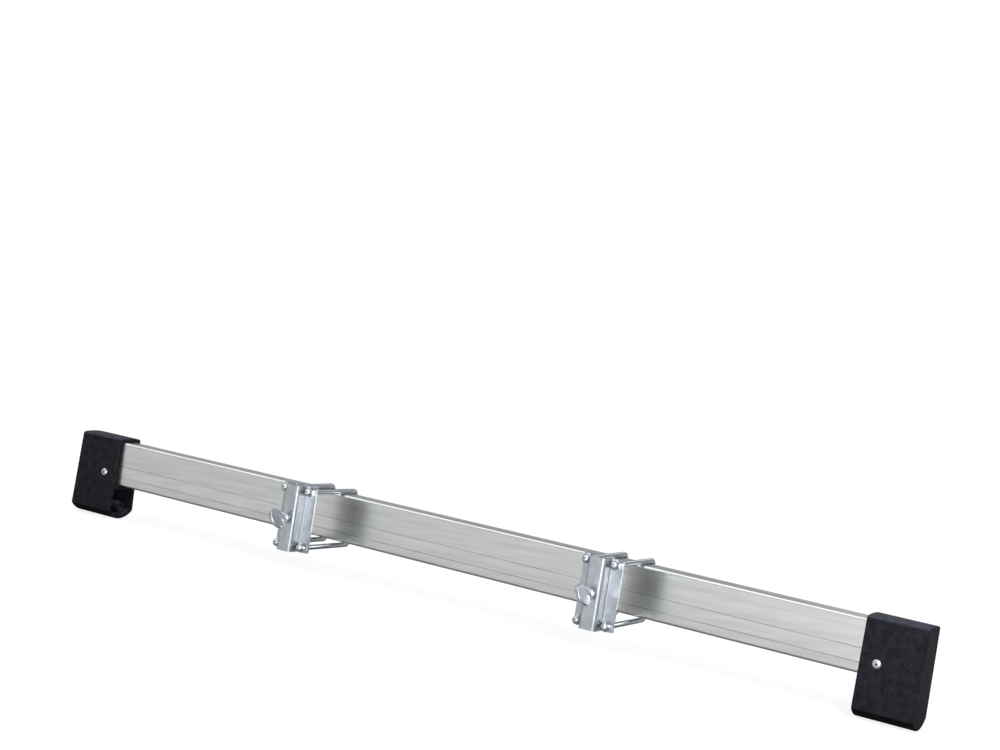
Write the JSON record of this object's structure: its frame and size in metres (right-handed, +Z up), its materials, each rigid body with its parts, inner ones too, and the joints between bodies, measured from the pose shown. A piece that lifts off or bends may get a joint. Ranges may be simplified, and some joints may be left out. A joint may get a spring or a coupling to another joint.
{
  "type": "ladder stabiliser bar",
  "caption": "Ladder stabiliser: hollow aluminium crossbar on flared black rubber feet, with sliding U-bolt clamps that grip the ladder's stiles by thumb screws.",
  "frame": {"origin": "on the crossbar's front face, halfway along its length and halfway up its height", "axes": "+X along the bar to the right as seen from the front, -Y to the front where the clamps and their thumb screws stand, +Z up"},
  "size_m": [1.152, 0.1488, 0.1117],
  "materials": {
    "bar_aluminium": "mill finish with fine lengthwise drawing lines",
    "foot_rubber": "matt moulded black",
    "rivet_aluminium": "satin",
    "mandrel_steel": "dull, snapped end",
    "galvanised_sheet": "hot-dip galvanised with a faint spangle",
    "plated_rod": "zinc plated, smooth",
    "bright_nut": "bright plated",
    "plain_steel": "plain, greyed by the weld",
    "plated_screw": "zinc plated, rounded edges",
    "pad_plastic": "moulded black"
  },
  "bodies": {
    "bar": {"crossbar": "bar_aluminium", "left_foot": "foot_rubber", "right_foot": "foot_rubber", "left_foot_rivet": "rivet_aluminium", "right_foot_rivet": "rivet_aluminium", "left_rivet_mandrel": "mandrel_steel", "right_rivet_mandrel": "mandrel_steel"},
    "left_clamp": {"left_clamp_plate": "galvanised_sheet", "left_outer_u_bolt": "plated_rod", "left_inner_u_bolt": "plated_rod", "left_outer_cap_nuts": "bright_nut", "left_inner_cap_nuts": "bright_nut", "left_weld_nut": "plain_steel"},
    "left_pad": {"left_pressure_pad": "pad_plastic"},
    "left_screw": {"left_thumb_screw": "plated_screw"},
    "right_clamp": {"right_clamp_plate": "galvanised_sheet", "right_outer_u_bolt": "plated_rod", "right_inner_u_bolt": "plated_rod", "right_outer_cap_nuts": "bright_nut", "right_inner_cap_nuts": "bright_nut", "right_weld_nut": "plain_steel"},
    "right_pad": {"right_pressure_pad": "pad_plastic"},
    "right_screw": {"right_thumb_screw": "plated_screw"}
  },
  "joints": [
    {"name": "left_clamp_slide", "type": "slide", "parent": "bar", "child": "left_clamp", "axis": [1, 0, 0], "range_m": [-0.31, 0.14]},
    {"name": "left_pad_travel", "type": "slide", "parent": "left_clamp", "child": "left_pad", "axis": [0, 1, 0], "range_m": [-0.0055, 0.0025]},
    {"name": "left_screw_turn", "type": "hinge", "parent": "left_pad", "child": "left_screw", "pos_m": [-0.1725, -0.0785, -0.00145], "axis": [0, 1, 0], "range_deg": [-1594, 730]},
    {"name": "right_clamp_slide", "type": "slide", "parent": "bar", "child": "right_clamp", "axis": [1, 0, 0], "range_m": [-0.2, 0.245]},
    {"name": "right_pad_travel", "type": "slide", "parent": "right_clamp", "child": "right_pad", "axis": [0, 1, 0], "range_m": [-0.0055, 0.0025]},
    {"name": "right_screw_turn", "type": "hinge", "parent": "right_pad", "child": "right_screw", "pos_m": [0.2345, -0.0785, -0.00145], "axis": [0, 1, 0], "range_deg": [-1594, 730]}
  ],
  "couplings": [
    {"joint": "left_screw_turn", "follows": "left_pad_travel", "rad_per_m": 5026.5},
    {"joint": "right_screw_turn", "follows": "right_pad_travel", "rad_per_m": 5026.5}
  ]
}
